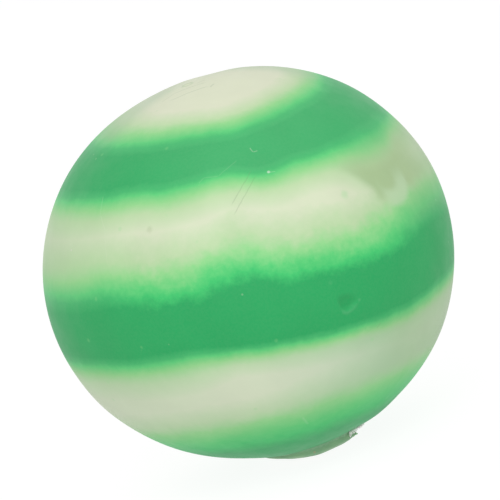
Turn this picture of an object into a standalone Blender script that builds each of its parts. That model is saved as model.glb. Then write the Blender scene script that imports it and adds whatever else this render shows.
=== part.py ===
"""Squishy ball: a clear rubber skin packed with layers of coloured dough, closed by a glued stopper.

Metres, +Z up. The origin is on the flat of the sealing patch that the ball stands on, below its middle.
The front of the ball, as it was photographed, faces -Y.
"""

import math

import bmesh
import bpy
from mathutils import Matrix, Vector

MM = 0.001

# Skin: one soft moulding, an oblate ball with a collar round its fill hole
BALL_DIAMETER = 70.0 * MM
BALL_HEIGHT = 66.3 * MM
SKIN_WALL = 1.6 * MM
FILL_HOLE_DIAMETER = 8.0 * MM
COLLAR_DIAMETER = 15.0 * MM
COLLAR_RISE = 2.2 * MM
COLLAR_FLANK = 1.4 * MM

# Stopper: a stem in the fill hole with a barbed head behind the collar
STOPPER_HEAD_DIAMETER = 12.0 * MM
STOPPER_HEAD_HEIGHT = 4.0 * MM
STOPPER_TIP_DIAMETER = 5.0 * MM
STOPPER_BARB_EDGE = 0.8 * MM

# Sealing patch: a thin round-edged disc glued over the stopper, worn flat where the ball stands on it
PATCH_DIAMETER = 16.4 * MM
PATCH_THICKNESS = 1.3 * MM
PATCH_FLAT_CUT = 0.5 * MM

# Glue: a bead round the patch's edge and a torn strip of squeezed-out glue at one side
BEAD_WIDTH = 0.9 * MM
BEAD_HEIGHT = 0.7 * MM
FLASH_LENGTH = 1.6 * MM
FLASH_THICKNESS = 0.35 * MM
FLASH_DROOP = math.radians(42.0)
FLASH_START = math.radians(48.0)
FLASH_END = math.radians(88.0)
FLASH_TEAR = 0.38
FLASH_TEETH = 2.7
FLASH_LOBES = 1.1

# Dough: how much of the fill's height each layer takes on the ball's axis, from the bottom up
GREEN_BASE_PORTION = 8.9
CREAM_LOWER_PORTION = 13.5
GREEN_MIDDLE_PORTION = 11.9
CREAM_UPPER_PORTION = 14.6
GREEN_UPPER_PORTION = 8.4
CREAM_CROWN_PORTION = 5.2
LAYER_DRIFT = math.radians(3.4)
LAYER_SADDLE = 1.2 * MM

# Air pocket: a hollow in the upper cream layer, where the dough doesn't reach the skin
POCKET_AZIMUTH = math.radians(50.0)
POCKET_WIDTH = 16.0 * MM
POCKET_HEIGHT = 9.0 * MM
POCKET_DEPTH = 2.2 * MM

# Pieces that touch are drawn this far apart
CLEARANCE = 0.3 * MM

# Facets
SEGMENTS = 40
QUARTER_STEPS = 9
RIM_STEPS = 5
BEAD_STEPS = 8
SHEET_CELLS = 8
FLASH_STEPS = 14
POCKET_SEGMENTS = 16
POCKET_RINGS = 10
WELD = 0.01 * MM
SMOOTH_ANGLE = math.radians(40.0)

# Derived places
SKIN_RADIUS = BALL_DIAMETER / 2
SKIN_HALF_HEIGHT = BALL_HEIGHT / 2
PATCH_TOP = PATCH_THICKNESS - PATCH_FLAT_CUT
SKIN_BOTTOM = PATCH_TOP + CLEARANCE
CENTRE_Z = SKIN_BOTTOM + SKIN_HALF_HEIGHT
FILL_OFFSET = -(SKIN_WALL + CLEARANCE)
FILL_RADIUS = SKIN_RADIUS + FILL_OFFSET
FILL_HALF_HEIGHT = SKIN_HALF_HEIGHT + FILL_OFFSET
FILL_BOTTOM = CENTRE_Z - FILL_HALF_HEIGHT
HOLE_RADIUS = FILL_HOLE_DIAMETER / 2
COLLAR_TOP = SKIN_BOTTOM + SKIN_WALL + COLLAR_RISE
STEM_RADIUS = HOLE_RADIUS - CLEARANCE
HEAD_BOTTOM = COLLAR_TOP + CLEARANCE
HEAD_TOP = HEAD_BOTTOM + STOPPER_HEAD_HEIGHT

# Finishes: red, green and blue, how much hides what is behind, and roughness
CLEAR_RUBBER = ((0.80, 0.86, 0.76), 0.25, 0.35)
GREEN_DOUGH = ((0.045, 0.40, 0.127), 1.0, 0.8)
CREAM_DOUGH = ((0.69, 0.75, 0.55), 1.0, 0.8)
STOPPER_RUBBER = ((0.62, 0.66, 0.55), 1.0, 0.5)
PATCH_RUBBER = ((0.17, 0.34, 0.18), 1.0, 0.45)
SET_GLUE = ((0.80, 0.84, 0.76), 1.0, 0.3)

LAYERS = (
    ("green_base_layer", GREEN_DOUGH, GREEN_BASE_PORTION),
    ("cream_lower_layer", CREAM_DOUGH, CREAM_LOWER_PORTION),
    ("green_middle_layer", GREEN_DOUGH, GREEN_MIDDLE_PORTION),
    ("cream_upper_layer", CREAM_DOUGH, CREAM_UPPER_PORTION),
    ("green_upper_layer", GREEN_DOUGH, GREEN_UPPER_PORTION),
    ("cream_crown", CREAM_DOUGH, CREAM_CROWN_PORTION),
)


def clear_scene():
    for thing in list(bpy.data.objects):
        bpy.data.objects.remove(thing, do_unlink=True)


def new_collection(name):
    collection = bpy.data.collections.new(name)
    bpy.context.scene.collection.children.link(collection)
    return collection


def make_material(name, finish):
    colour, opacity, roughness = finish
    material = bpy.data.materials.new(name)
    material.use_nodes = True
    shader = material.node_tree.nodes["Principled BSDF"]
    shader.inputs["Base Color"].default_value = (*colour, 1.0)
    shader.inputs["Alpha"].default_value = opacity
    shader.inputs["Roughness"].default_value = roughness
    shader.inputs["Metallic"].default_value = 0.0
    return material


def add_piece(name, mesh, collection, root, finish=None):
    """An object for one sub-part, or for a cutter if it has no finish."""
    piece = bpy.data.objects.new(name, mesh)
    collection.objects.link(piece)
    piece.parent = root
    if finish:
        mesh.materials.append(make_material(name, finish))
    else:
        piece.hide_render = True
        piece.display_type = "WIRE"
    return piece


def cut(piece, cutter, operation):
    boolean = piece.modifiers.new(f"{operation.lower()}_{cutter.name}", "BOOLEAN")
    boolean.operation = operation
    boolean.object = cutter
    boolean.solver = "EXACT"


def mesh_from(bm, name):
    mesh = bpy.data.meshes.new(name)
    bm.to_mesh(mesh)
    bm.free()
    return mesh


def smooth(mesh):
    mesh.shade_smooth()
    mesh.set_sharp_from_angle(angle=SMOOTH_ANGLE)


def shell_point(offset, angle):
    """A point of the ball's outline, moved out by offset, at an angle up from its widest circle."""
    radius = (SKIN_RADIUS + offset) * math.cos(angle)
    height = CENTRE_Z + (SKIN_HALF_HEIGHT + offset) * math.sin(angle)
    return radius, height


def lower_angle(offset, radius):
    """The angle at which that outline comes back to a radius on its lower half."""
    return -math.acos(radius / (SKIN_RADIUS + offset))


def shell_arc(offset, start, end, steps):
    return [shell_point(offset, start + (end - start) * i / steps) for i in range(steps + 1)]


def half_outline(offset, end_radius):
    """The outline from the top pole, over the widest circle, down to a radius near the bottom."""
    upper = shell_arc(offset, math.pi / 2, 0.0, QUARTER_STEPS)
    lower = shell_arc(offset, 0.0, lower_angle(offset, end_radius), QUARTER_STEPS)
    upper[0] = (0.0, upper[0][1])
    return upper + lower[1:]


def turned(name, profile, collection, root, finish=None, closed=False):
    """A profile of (radius, height) points, outer side running down, turned about the ball's axis."""
    bm = bmesh.new()
    points = [bm.verts.new((radius, 0.0, height)) for radius, height in profile]
    for a, b in zip(points, points[1:]):
        bm.edges.new((a, b))
    if closed:
        bm.edges.new((points[-1], points[0]))
    piece = add_piece(name, mesh_from(bm, name), collection, root, finish)
    screw = piece.modifiers.new("turn", "SCREW")
    screw.axis = "Z"
    screw.steps = SEGMENTS
    screw.render_steps = SEGMENTS
    screw.use_merge_vertices = True
    screw.merge_threshold = WELD
    screw.use_smooth_shade = True
    return piece


def make_skin(parts, root):
    """The hollow ball: outside from the top pole down, in through the fill hole, and up the inside."""
    flank_radius = COLLAR_DIAMETER / 2
    outside = half_outline(0.0, HOLE_RADIUS)
    hole = [
        (HOLE_RADIUS, COLLAR_TOP),
        (flank_radius - COLLAR_FLANK, COLLAR_TOP),
    ]
    inside = half_outline(-SKIN_WALL, flank_radius)[::-1]
    return turned("skin", outside + hole + inside, parts, root, CLEAR_RUBBER)


def stopper_profile(grow=0.0):
    """The stopper's outline from its tip down, or that of the room it needs."""
    return [
        (0.0, HEAD_TOP + grow),
        (STOPPER_TIP_DIAMETER / 2 + grow, HEAD_TOP + grow),
        (STOPPER_HEAD_DIAMETER / 2 + grow, HEAD_BOTTOM + STOPPER_BARB_EDGE + grow),
        (STOPPER_HEAD_DIAMETER / 2 + grow, HEAD_BOTTOM - grow),
    ]


def make_stopper(parts, root):
    stem_end = shell_point(0.0, lower_angle(0.0, STEM_RADIUS))[1]
    stem = [(STEM_RADIUS, HEAD_BOTTOM), (STEM_RADIUS, stem_end), (0.0, stem_end)]
    return turned("stopper", stopper_profile() + stem, parts, root, STOPPER_RUBBER)


def make_patch(parts, root):
    """A disc of even thickness bent to the ball, with a full round edge and a flat foot."""
    middle = CLEARANCE + PATCH_THICKNESS / 2
    rim_radius = (PATCH_DIAMETER - PATCH_THICKNESS) / 2
    rim_angle = lower_angle(middle, rim_radius)
    rim = Vector(shell_point(middle, rim_angle))
    down = Vector((math.cos(rim_angle), math.sin(rim_angle)))
    down = Vector((down.x / SKIN_RADIUS, down.y / SKIN_HALF_HEIGHT)).normalized()
    out = Vector((-down.y, down.x))
    top = shell_arc(CLEARANCE, -math.pi / 2, lower_angle(CLEARANCE, rim_radius), RIM_STEPS)
    top[0] = (0.0, top[0][1])
    edge = []
    for i in range(1, RIM_STEPS):
        turn = math.pi * i / RIM_STEPS
        edge.append(tuple(rim + (math.sin(turn) * out - math.cos(turn) * down) * PATCH_THICKNESS / 2))
    under = CLEARANCE + PATCH_THICKNESS
    flat_angle = -math.asin(CENTRE_Z / (SKIN_HALF_HEIGHT + under))
    bottom = shell_arc(under, lower_angle(under, rim_radius), flat_angle, RIM_STEPS)
    bottom[-1] = (bottom[-1][0], 0.0)
    profile = top + edge + bottom + [(0.0, 0.0)]
    return turned("sealing_patch", profile, parts, root, PATCH_RUBBER)


def bead_centre():
    """Where the glue bead's section lies: in the corner between the patch's edge and the skin."""
    radius = PATCH_DIAMETER / 2 + CLEARANCE + BEAD_WIDTH / 2
    skin_height = shell_point(0.0, lower_angle(0.0, radius))[1]
    return radius, skin_height - CLEARANCE - BEAD_HEIGHT / 2


def make_bead(parts, root):
    radius, height = bead_centre()
    section = []
    for i in range(BEAD_STEPS):
        turn = math.pi / 2 - math.tau * i / BEAD_STEPS
        section.append(
            (radius + BEAD_WIDTH / 2 * math.cos(turn), height + BEAD_HEIGHT / 2 * math.sin(turn))
        )
    return turned("glue_bead", section, parts, root, SET_GLUE, closed=True)


def front_direction(azimuth):
    """The level direction that is turned by azimuth from the front towards +X."""
    return Vector((math.sin(azimuth), -math.cos(azimuth), 0.0))


def make_flash(parts, root):
    """A thin strip that hangs off the bead, torn along its free edge."""
    radius, height = bead_centre()
    radius += BEAD_WIDTH / 2 + CLEARANCE + FLASH_THICKNESS / 2
    bm = bmesh.new()
    bmesh.ops.create_grid(bm, x_segments=FLASH_STEPS, y_segments=2, size=0.5)
    for vert in bm.verts:
        along = vert.co.x + 0.5
        across = vert.co.y + 0.5
        teeth = math.sin(math.tau * FLASH_TEETH * along) * math.sin(math.tau * FLASH_LOBES * along)
        reach = FLASH_LENGTH * across * (1.0 - FLASH_TEAR + FLASH_TEAR * teeth)
        azimuth = FLASH_START + (FLASH_END - FLASH_START) * along
        vert.co = front_direction(azimuth) * (radius + reach * math.cos(FLASH_DROOP))
        vert.co.z = height - reach * math.sin(FLASH_DROOP)
    bmesh.ops.recalc_face_normals(bm, faces=bm.faces)
    piece = add_piece("glue_flash", mesh_from(bm, "glue_flash"), parts, root, SET_GLUE)
    solidify = piece.modifiers.new("thickness", "SOLIDIFY")
    solidify.thickness = FLASH_THICKNESS
    solidify.offset = 0.0
    return piece


def layer_heights():
    """The heights on the ball's axis at which the dough layers meet, with the fill's two ends."""
    total = sum(portion for _, _, portion in LAYERS)
    heights = [FILL_BOTTOM]
    for _, _, portion in LAYERS:
        heights.append(heights[-1] + 2 * FILL_HALF_HEIGHT * portion / total)
    return heights


def meeting_height(height, x, y):
    """Where two layers meet at a point: on a sheet that falls towards +X and is bent like a saddle."""
    saddle = LAYER_SADDLE * 2 * x * y / SKIN_RADIUS**2
    return height - math.tan(LAYER_DRIFT) * x + saddle


def layer_cutter(name, low, high, cutters, root):
    """The solid between two such sheets, which cuts one layer out of the fill."""
    bm = bmesh.new()
    cells = SHEET_CELLS
    bmesh.ops.create_grid(bm, x_segments=cells, y_segments=cells, size=SKIN_RADIUS)
    raised = bmesh.ops.extrude_face_region(bm, geom=bm.faces[:])["geom"]
    top = {item for item in raised if isinstance(item, bmesh.types.BMVert)}
    for vert in bm.verts:
        if vert in top:
            vert.co.z = meeting_height(high, vert.co.x, vert.co.y) - CLEARANCE / 2
        else:
            vert.co.z = meeting_height(low, vert.co.x, vert.co.y) + CLEARANCE / 2
    bmesh.ops.triangulate(bm, faces=bm.faces)
    bmesh.ops.recalc_face_normals(bm, faces=bm.faces)
    return add_piece(f"{name}_cutter", mesh_from(bm, f"{name}_cutter"), cutters, root)


def fill_mesh(name, origin_z):
    """The whole fill, as a mesh about a point of the ball's axis."""
    bm = bmesh.new()
    bmesh.ops.create_uvsphere(bm, u_segments=SEGMENTS, v_segments=2 * QUARTER_STEPS, radius=1.0)
    size = Matrix.Diagonal((FILL_RADIUS, FILL_RADIUS, FILL_HALF_HEIGHT, 1.0))
    bm.transform(Matrix.Translation((0.0, 0.0, CENTRE_Z - origin_z)) @ size)
    mesh = mesh_from(bm, name)
    smooth(mesh)
    return mesh


def make_layers(parts, cutters, root):
    """The dough layers, each on an origin of its own on the ball's axis, where it is pressed down."""
    heights = layer_heights()
    past_ends = [heights[0] - BALL_HEIGHT, *heights[1:-1], heights[-1] + BALL_HEIGHT]
    layers = {}
    for i, (name, finish, _) in enumerate(LAYERS):
        origin_z = (heights[i] + heights[i + 1]) / 2
        layer = add_piece(name, fill_mesh(name, origin_z), parts, root, finish)
        layer.location.z = origin_z
        cut(layer, layer_cutter(name, past_ends[i], past_ends[i + 1], cutters, root), "INTERSECT")
        layers[name] = layer
    return layers


def cut_stopper_room(layer, cutters, root):
    """The hollow in the lowest layer that the collar and the stopper's head stand in."""
    collar = COLLAR_DIAMETER / 2 + CLEARANCE
    below = SKIN_BOTTOM
    profile = stopper_profile(CLEARANCE)[:-1]
    profile.append((STOPPER_HEAD_DIAMETER / 2 + CLEARANCE, COLLAR_TOP + CLEARANCE))
    profile += [(collar, COLLAR_TOP + CLEARANCE), (collar, below), (0.0, below)]
    cut(layer, turned("stopper_room", profile, cutters, root), "DIFFERENCE")


def cut_pocket(layer, cutters, root):
    """The air pocket, a lens-shaped hollow in the outside of its layer."""
    heights = layer_heights()
    names = [name for name, _, _ in LAYERS]
    i = names.index(layer.name)
    rough = front_direction(POCKET_AZIMUTH) * FILL_RADIUS
    height = meeting_height((heights[i] + heights[i + 1]) / 2, rough.x, rough.y)
    angle = math.asin((height - CENTRE_Z) / FILL_HALF_HEIGHT)
    radius, height = shell_point(FILL_OFFSET, angle)
    centre = front_direction(POCKET_AZIMUTH) * radius
    centre.z = height
    outward = Vector((centre.x, centre.y, (height - CENTRE_Z) * (FILL_RADIUS / FILL_HALF_HEIGHT) ** 2))
    bm = bmesh.new()
    bmesh.ops.create_uvsphere(bm, u_segments=POCKET_SEGMENTS, v_segments=POCKET_RINGS, radius=1.0)
    size = Matrix.Diagonal((POCKET_WIDTH / 2, POCKET_HEIGHT / 2, POCKET_DEPTH, 1.0))
    facing = outward.to_track_quat("Z", "Y").to_matrix().to_4x4()
    bm.transform(Matrix.Translation(centre) @ facing @ size)
    cut(layer, add_piece("pocket", mesh_from(bm, "pocket"), cutters, root), "DIFFERENCE")


def main():
    clear_scene()
    parts = new_collection("squishy_ball")
    cutters = new_collection("squishy_ball_cutters")
    root = bpy.data.objects.new("squishy_ball_origin", None)
    parts.objects.link(root)
    make_skin(parts, root)
    make_stopper(parts, root)
    make_patch(parts, root)
    make_bead(parts, root)
    make_flash(parts, root)
    layers = make_layers(parts, cutters, root)
    cut_stopper_room(layers["green_base_layer"], cutters, root)
    cut_pocket(layers["cream_upper_layer"], cutters, root)


main()
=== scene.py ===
"""Look of the squishy ball: a clear rubber skin over striped dough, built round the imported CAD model."""

import math

import bpy
import numpy as np
from mathutils import Matrix, Vector


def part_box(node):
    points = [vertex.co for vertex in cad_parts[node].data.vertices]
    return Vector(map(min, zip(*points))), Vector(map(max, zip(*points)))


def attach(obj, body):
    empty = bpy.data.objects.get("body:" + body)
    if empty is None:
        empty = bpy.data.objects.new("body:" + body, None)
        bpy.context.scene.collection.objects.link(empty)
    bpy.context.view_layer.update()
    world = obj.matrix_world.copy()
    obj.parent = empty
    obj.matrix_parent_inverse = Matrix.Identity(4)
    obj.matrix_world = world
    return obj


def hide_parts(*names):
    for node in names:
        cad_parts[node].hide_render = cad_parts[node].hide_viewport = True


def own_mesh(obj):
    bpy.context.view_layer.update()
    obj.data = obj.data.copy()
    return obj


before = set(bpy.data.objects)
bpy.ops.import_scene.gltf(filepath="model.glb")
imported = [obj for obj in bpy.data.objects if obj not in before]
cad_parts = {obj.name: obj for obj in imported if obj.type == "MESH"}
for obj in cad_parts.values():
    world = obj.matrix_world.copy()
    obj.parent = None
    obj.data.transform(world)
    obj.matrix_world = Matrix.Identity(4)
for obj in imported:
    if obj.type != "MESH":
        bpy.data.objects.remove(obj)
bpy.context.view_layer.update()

bl_info = {
    "name": "Squishy Ball",
    "version": (1, 0, 0),
    "blender": (4, 5, 0),
    "location": "3D View > Sidebar > Squishy Ball",
    "description": "Builds the skin, dough, patch, glue and stopper of a squeeze ball",
    "category": "Add Mesh",
}

MM = 0.001
TURN = 2 * math.pi

# The skin's box is in m, and the lengths after it are in mm. In the picture the patch is wider than the CAD
# one, all round by PATCH_OVERHANG.
SKIN_LOW, SKIN_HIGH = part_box("skin")
HALF_WIDTH = (SKIN_HIGH.x - SKIN_LOW.x) / 2 / MM
HALF_HEIGHT = (SKIN_HIGH.z - SKIN_LOW.z) / 2 / MM
CENTRE_Z = (SKIN_HIGH.z + SKIN_LOW.z) / 2 / MM
FILL_HALF_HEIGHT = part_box("cream_crown")[1].z / MM - CENTRE_Z
FILL_HALF_WIDTH = HALF_WIDTH - (HALF_HEIGHT - FILL_HALF_HEIGHT)
STOPPER_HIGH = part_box("stopper")[1] / MM
PATCH_OVERHANG = 0.35
PATCH_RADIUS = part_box("sealing_patch")[1].x / MM + PATCH_OVERHANG
# half of the gap between layers, the dough's distance from stopper and collar, the stopper's play in the hole
# and behind the collar
LAYER_GAP = 0.15
STOPPER_ROOM = 0.4
STOPPER_PLAY = 0.3
# how far the dough stops short of the skin at the air pocket
POCKET_DEPTH = 2.0
# how thick the patch's blank is, how far the patch stays off the skin, and how far the glue sinks into both
BLANK = 1.2
PATCH_LIFT = 0.05
GLUE_SINK = 0.05

# Faces of the meshes, and the width of the patch's rings.
INNER_RINGS = 26
LAYER_COLUMNS, LAYER_RINGS = 144, 72
PATCH_SIDES, PATCH_RINGS, PATCH_INSET = 128, 14, 0.54
BEAD_COLUMNS, BEAD_SIDES = 192, 24
PLUG_SIDES = 96

# Heights of the five stripe edges, in mm above the ball's middle, at azimuths in degrees, 0 at the front
# and growing to the right. The front half follows the picture, the back joins it up.
STRIPE_EDGES = {
    "crown_edge": (
        (-180, 28.0), (-130, 28.2), (-80, 27.9), (-60, 27.5), (-40, 26.8), (-20, 25.95), (0, 25.0),
        (10, 24.35), (20, 24.3), (40, 24.55), (60, 25.0), (80, 25.75), (130, 27.4),
    ),
    "upper_edge": (
        (-180, 19.3), (-130, 20.4), (-80, 21.2), (-60, 21.05), (-40, 20.5), (-28, 20.32), (-20, 19.55),
        (-10, 19.42), (0, 19.4), (6, 18.7), (12, 17.55), (24, 17.5), (32, 17.15), (40, 16.98), (50, 16.5),
        (55, 16.42), (59, 16.3), (63, 16.45), (68, 16.82), (74, 16.9), (100, 16.9), (140, 18.0),
    ),
    "middle_edge": (
        (-180, 4.9), (-130, 5.5), (-80, 6.0), (-60, 5.8), (-40, 5.85), (-22, 3.95), (-10, 4.1), (0, 4.5),
        (10, 1.9), (20, 1.0), (38, 0.0), (53, 1.45), (60, 1.8), (75, 1.15), (90, 1.65), (135, 3.8),
    ),
    "lower_edge": (
        (-180, -7.8), (-130, -6.6), (-80, -5.1), (-60, -5.05), (-40, -6.05), (-20, -6.7), (-9, -7.85),
        (0, -8.75), (8, -9.52), (20, -10.36), (34, -11.15), (42, -11.4), (60, -10.7), (80, -10.5),
        (130, -9.4),
    ),
    "base_edge": (
        (-180, -24.5), (-120, -24.3), (-60, -24.55), (-30, -25.0), (0, -25.7), (30, -25.9),
        (50, -26.0), (75, -26.9), (120, -26.0),
    ),
}

# The dye at each stripe edge: the green side (1 above, -1 below), the edge's softness and the length of its
# tail, and how far speckle moves it, everywhere and more at the front. Softness and tail change across the
# ball: from and to, to the right of its middle, and by how much.
DYE_EDGES = {
    "crown_edge": (-1, (0.8,), (0.44,), (0.6, 0)),
    "upper_edge": (
        1, (0.85, (16, 25, 0.45), (26.5, 30, -0.4)), (0.7, (16, 25, 0.7), (26.5, 30, -0.55)), (0.6, 0),
    ),
    "middle_edge": (-1, (1.55, (18, 29, 0.3)), (1.08,), (1.0, 2.0)),
    "lower_edge": (
        1, (0.95, (-15, -6, -0.29), (13, 20, 0.16)), (0.9, (-15, -6, -0.28), (13, 20, 0.12)), (0.7, 0),
    ),
    "base_edge": (-1, (1.9,), (0.9, (-4, 6, 0.2)), (1.2, 0)),
}
# How far two edges of a stripe round each other off, and the depth outside an edge where its tail starts.
STRIPE_ROUNDING = 0.8
TAIL_START = 2.0
# The dough's colour by depth inside a stripe, in units of the edge's softness, with SkinSettings' names.
DYE_STOPS = (
    (-8.0, "cream"), (-4.2, "pale"), (-2.0, "tint"), (-0.6, "edge"), (0.2, "rim"), (1.4, "core"),
    (4.0, "core"),
)
# Seams that are muted at the right, which is painted shade: the edge, the height of the muted strip's middle
# above it, how far from there the strip starts to fade and is gone, its strength, and where, to the right, it
# sets in and is full.
SHADED_SEAMS = (
    ("middle_edge", 2.0, 1.5, 4.0, 0.25, 22, 30),
    ("upper_edge", -2.2, 1.2, 2.6, 0.25, 18, 25),
    ("lower_edge", -1.7, 1.0, 2.0, 0.2, 10, 18),
)

# Each dough layer, bottom up: piece, CAD node, body, the edge below it, the edge above it, its colour.
LAYERS = (
    ("dough_base", "green_base_layer", "base", None, "base_edge", "green"),
    ("dough_lower", "cream_lower_layer", "cream_lower", "base_edge", "lower_edge", "cream"),
    ("dough_middle", "green_middle_layer", "green_middle", "lower_edge", "middle_edge", "green"),
    ("dough_upper", "cream_upper_layer", "cream_upper", "middle_edge", "upper_edge", "cream"),
    ("dough_green_upper", "green_upper_layer", "green_upper", "upper_edge", "crown_edge", "green"),
    ("dough_crown", "cream_crown", "crown", "crown_edge", None, "cream"),
)

# The small dimple, as azimuth and height, with the lean of its lip, and the mould's gate mark near the top.
# Each has finer faces as far as its reach.
DIMPLE_AT = (21.6, -6.4)
DIMPLE_LEAN = 18.5
DIMPLE_REACH = 3.0
GATE_AT = (-0.3, -4.45, 32.88)
GATE_REACH = 2.2

# The air pocket's left side, as heights and azimuths, its floor, as azimuths and heights, the middle of the
# pale crescent, as azimuth and height, and the length of a degree of azimuth there.
POCKET_LEFT = (
    (6.2, 43.4), (6.9, 42.4), (7.8, 42.1), (8.8, 41.6), (10.1, 40.2), (11.6, 38.3), (13.1, 35.7),
    (14.4, 33.1), (18.0, 25.0),
)
POCKET_FLOOR = ((40, 5.4), (43, 5.7), (46, 6.5), (50, 6.6), (56, 6.2), (60, 5.0))
CRESCENT_AT = (49, 9.5)
POCKET_DEGREE = 0.58

# Slow swellings and flats of the skin: place across and height, reach and amount. Hollows of the crown: place
# across and behind, reach and depth.
SWELLINGS = (
    (20, -27, 16, 0.16), (-11, -31, 13, -0.17), (12.5, -31.2, 6, 0.22), (27, -20, 10, 0.13),
    (25, 23, 10, 0.13), (35, -3, 14, -0.09), (-31, -15, 8, 0.11),
)
CROWN_HOLLOWS = ((-3, 0, 24, 0.79), (3.8, 5, 5.5, 0.2))

# Fine marks on the skin, each from one azimuth and height to another, with its half width and strength, and
# how far a mark runs past its ends, as a share of its length.
SCRATCHES = (
    ((9.9, 18.3), (0.6, 14.5), 0.12, 0.22), ((10.7, 17.4), (0.5, 13.1), 0.12, 0.22),
    ((31.3, -11.7), (29.7, -12.3), 0.14, 0.2), ((21.7, 32.3), (-23.5, 32.25), 0.16, 0.23),
    ((16.7, 31.72), (-20.2, 31.49), 0.17, 0.27), ((30.6, 32.62), (11.8, 32.56), 0.14, 0.23),
    ((23.9, 31.75), (17.8, 31.48), 0.25, 0.19), ((-22.5, 32.27), (-30.9, 31.63), 0.16, 0.18),
    ((118, 12), (131, 3), 0.14, 0.15), ((-152, -4), (-140, 5), 0.14, 0.15),
)
THREADS = (
    ((13.0, 21.5), (13.3, 20.8), 0.13, 0.22), ((13.3, 20.8), (14.8, 20.75), 0.13, 0.22),
    ((14.6, 17.2), (16.6, 16.95), 0.08, 0.2), ((-44.1, 20.8), (-43.9, 18.2), 0.12, 0.1),
    ((-43.9, 18.2), (-41.4, 15.9), 0.12, 0.14), ((-41.4, 15.9), (-40.7, 11.1), 0.12, 0.1),
    ((-7, 19.0), (-5.2, 19.5), 0.12, 0.06), ((-5.2, 19.5), (-0.5, 19.1), 0.12, 0.06),
    ((-0.5, 19.1), (6.8, 20.4), 0.12, 0.06), ((0.6, -23.14), (2.0, -24.87), 0.3, 0.09),
    ((150, 14), (158, 9), 0.1, 0.18), ((-110, -16), (-104, -20), 0.1, 0.18),
)
MARK_OVERRUN = 0.06
# Single spots: azimuth, height, radius, strength and colour.
SPOTS = (
    (14.6, 17.25, 0.36, 0.5, (238, 242, 232)), (-57.3, 13.8, 0.3, 0.5, (228, 222, 216)),
    (-25.0, 14.5, 0.8, 0.25, (150, 172, 122)), (32.4, 9.85, 1.0, 0.3, (146, 214, 144)),
    (18.8, -2.1, 0.6, 0.08, (140, 206, 160)), (25.5, -6.5, 0.45, 0.14, (140, 206, 160)),
)

# Uneven places round the glue bead: amount, waves in a turn, and shift.
BEAD_WAVES = ((0.12, 5, 1), (0.09, 11, -0.6), (0.05, 23, 2))
# Slips of torn glue: azimuth, radius and height off the skin at the root and at the tip, the width, a turn of
# the teeth, and whether rubber is left on it.
SLIPS = (
    ((53, 8.5, -0.62), (53, 11.2, -0.24), 1.0, 0.3, 0),
    ((54, 10.8, -0.3), (54, 12.0, -0.3), 0.42, 1.9, 0),
    ((55, 9.1, -1.12), (53, 10.1, -1.06), 0.4, 4.0, 1),
    ((72, 7.8, -0.7), (78, 9.4, -0.5), 0.45, 2.6, 0),
)

# Tones that go over the colours of the settings, in sRGB.
TONES = {
    # Some of these paint light: the muted seams, the left and right tones, the crown's back and the dimple's
    # bowl are painted shade; the upper stripe's sheen, the crescent and the dimple's lip are painted
    # highlights.
    "muted": (130, 178, 125),
    "upper_stripe_sheen": (190, 250, 200),
    "left": (156, 206, 146),
    "right": (160, 196, 148),
    "low": (140, 196, 160),
    "cool": (224, 240, 228),
    "crown_back_shade": (158, 190, 153),
    "crescent": (184, 212, 171),
    "dust": (205, 226, 196),
    "scratch": (120, 150, 112),
    "thread": (226, 232, 214),
    "dimple_bowl": (24, 132, 72),
    "dimple_lip": (150, 214, 170),
    "gate_ring": (160, 190, 146),
    "dough_fleck": (196, 224, 172),
    "patch_deep": (130, 174, 134),
    "patch_warm": (192, 162, 132),
    "plug_deep": (182, 187, 176),
    "plug_warm": (206, 200, 186),
    "thick_glue": (112, 166, 122),
    "thick_torn": (236, 239, 232),
}

# Stage, in m: shift of the picture as shares of its width, the key lamp's size and distance, its direction as
# parts towards the camera, up and right in the picture, and the floor.
PICTURE_SHIFT = (0.0028, 0.0235)
KEY_SIZE = 0.55
KEY_DISTANCE = 0.8
KEY_FROM = (0.9, 0.4, -0.08)
FLOOR_SIZE = 6
FLOOR_DROP = 0.02 * MM


def linear(red, green, blue):
    """An sRGB colour in 0 to 255 as linear values."""
    found = []
    for part in (red, green, blue):
        c = part / 255
        found.append(c / 12.92 if c <= 0.04045 else ((c + 0.055) / 1.055) ** 2.4)
    return tuple(found)


def tone(name):
    return linear(*TONES[name])


def colour_prop(name, about, rgb):
    return bpy.props.FloatVectorProperty(
        name=name, description=about, default=linear(*rgb), subtype="COLOR", min=0, max=1
    )


def length_prop(name, about, mm):
    return bpy.props.FloatProperty(
        name=name, description=about, default=mm * MM, unit="LENGTH", subtype="DISTANCE", min=0
    )


def angle_prop(name, about, degrees):
    return bpy.props.FloatProperty(
        name=name, description=about, default=math.radians(degrees), subtype="ANGLE"
    )


def number_prop(name, about, value, **limits):
    return bpy.props.FloatProperty(name=name, description=about, default=value, **limits)


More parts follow.
